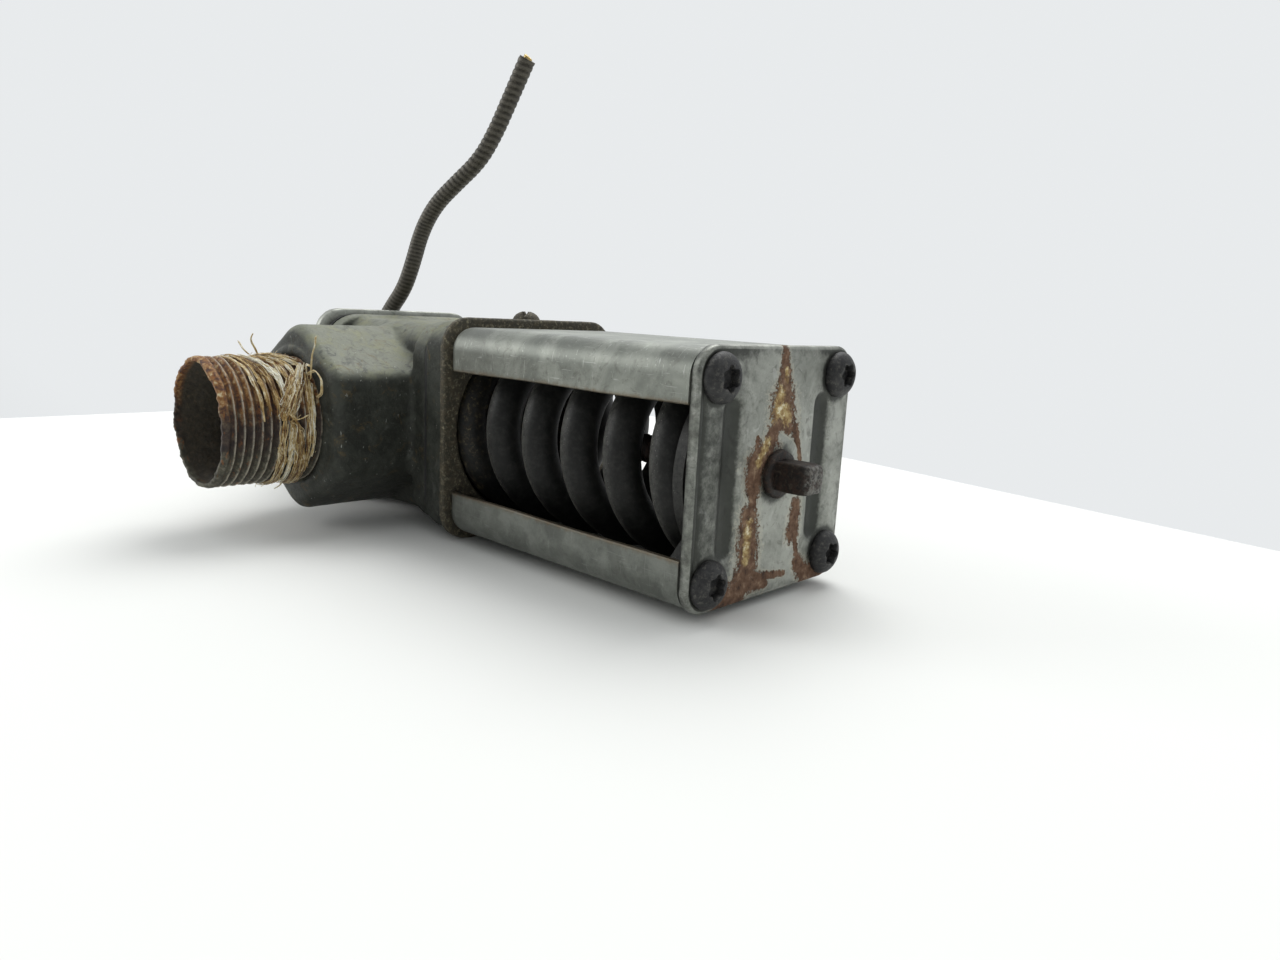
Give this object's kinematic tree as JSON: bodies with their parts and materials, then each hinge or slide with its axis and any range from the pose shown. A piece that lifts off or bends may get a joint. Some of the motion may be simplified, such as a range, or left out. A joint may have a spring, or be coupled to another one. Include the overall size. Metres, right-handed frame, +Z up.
{
  "type": "spring-loaded regulating valve",
  "caption": "Capillary-operated regulating valve: hexagonal pipe ports, an open spring housing with a square adjusting stem, a bellows cup and a cut armoured capillary.",
  "frame": {"origin": "middle of the underside of the valve as it lies on its side, without its capillary", "axes": "+X along the range spring's axis, from the bellows to the adjusting stem; +Y towards the open port; +Z up"},
  "size_m": [0.2004, 0.1258, 0.138],
  "materials": {
    "zinc_plate": "dull zinc-plated steel",
    "zinc_channel": "dull stained zinc-plated steel",
    "zinc_cup": "dull drawn steel",
    "rusty_plate": "brown corroded steel edge",
    "cast_body": "stained grey casting",
    "black_screws": "black oxide, satin",
    "brown_screw": "brown corroded steel",
    "spring_steel": "black satin paint on spring wire",
    "pipe_steel": "rusty threaded steel",
    "hemp": "cream and tan sealing fibre",
    "armour": "dark bronze spiral armour",
    "brass": "dull brass",
    "rubber": "black rubber",
    "bellows_metal": "thin drawn metal"
  },
  "bodies": {
    "valve": {"end_plate": "zinc_plate", "tie_screws": "black_screws", "channel_top": "zinc_channel", "channel_bottom": "zinc_channel", "cover_plate": "rusty_plate", "spring_base": "cast_body", "tag_screw": "brown_screw", "upper_diaphragm": "rubber", "valve_body": "cast_body", "valve_seat": "brass", "lower_diaphragm": "rubber", "bellows_cup": "zinc_cup", "bellows_flange": "zinc_plate", "flange_screws": "black_screws", "bellows": "bellows_metal", "bellows_ring": "bellows_metal", "capillary_fitting": "brass", "capillary_armour": "armour", "capillary_tube": "brass", "pipe_nipple": "pipe_steel", "sealing_hemp": "hemp", "range_spring": "spring_steel"},
    "adjuster": {"adjusting_screw": "brown_screw", "thrust_collar": "brown_screw", "retaining_clip": "spring_steel"},
    "spring_nut": {"upper_spring_guide": "spring_steel"},
    "stem": {"valve_stem": "brass", "lower_spring_guide": "spring_steel", "disc_holder": "brass", "valve_disc": "rubber", "disc_washer": "brass", "stem_washers": "brass", "bellows_plunger": "brass", "bellows_end": "bellows_metal"}
  },
  "joints": [
    {"name": "adjusting_turn", "type": "hinge", "parent": "valve", "child": "adjuster", "pos_m": [0.0898, 0.0121, 0.0297], "axis": [1, 0, 0], "range_deg": [0, 3600]},
    {"name": "guide_travel", "type": "slide", "parent": "valve", "child": "spring_nut", "axis": [-1, 0, 0], "range_m": [0, 0.02], "deforming": ["range_spring"]},
    {"name": "stem_lift", "type": "slide", "parent": "valve", "child": "stem", "axis": [1, 0, 0], "range_m": [0, 0.004], "stiffness_N_per_m": 2500, "springref_m": -0.004, "deforming": ["range_spring", "bellows", "upper_diaphragm", "lower_diaphragm"]}
  ],
  "couplings": [
    {"joint": "adjusting_turn", "follows": "guide_travel", "rad_per_m": 3141.6}
  ]
}
